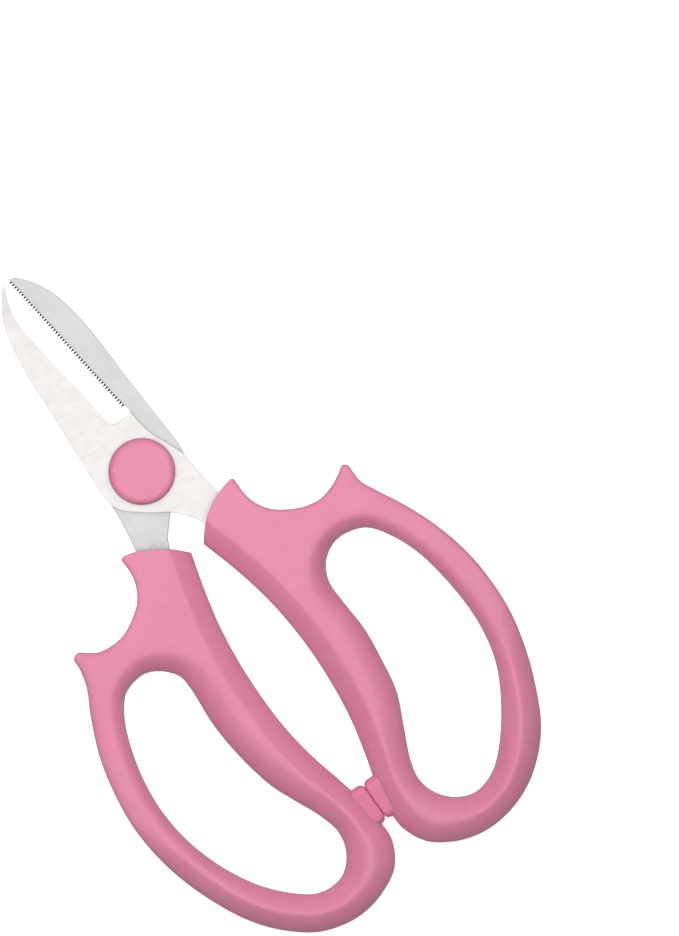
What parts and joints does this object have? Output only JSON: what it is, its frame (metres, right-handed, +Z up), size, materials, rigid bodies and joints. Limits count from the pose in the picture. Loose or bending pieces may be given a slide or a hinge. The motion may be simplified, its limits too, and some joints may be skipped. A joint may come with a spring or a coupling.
{
  "type": "floral snips",
  "caption": "Bypass floral snips: pointed blades on a friction pivot, moulded loop handles with finger rests and stop pads.",
  "frame": {"origin": "on the pivot axis, in the plane that the closed snips lie on", "axes": "+Z up along the pivot axis towards the front blade, +Y towards the blade tips, +X to the right handle"},
  "size_m": [0.1087, 0.1816, 0.012],
  "materials": {
    "blade_steel": "stainless steel, fine ground",
    "handle_plastic": "satin moulded, pink",
    "bumper_elastomer": "soft moulded, pink",
    "washer_nylon": "natural white nylon",
    "screw_steel": "plain steel"
  },
  "bodies": {
    "rear_half": {"blade_rear": "blade_steel", "handle_left": "handle_plastic", "bumper_left": "bumper_elastomer", "friction_washer": "washer_nylon", "pivot_screw": "screw_steel", "pivot_nut": "screw_steel", "spring_washer": "screw_steel", "cap_front": "handle_plastic", "cap_rear": "handle_plastic"},
    "front_half": {"blade_front": "blade_steel", "handle_right": "handle_plastic", "bumper_right": "bumper_elastomer"}
  },
  "joints": [
    {"name": "blade_pivot", "type": "hinge", "parent": "rear_half", "child": "front_half", "pos_m": [0, 0, 0.006], "axis": [0, 0, 1], "range_deg": [0, 100]}
  ]
}
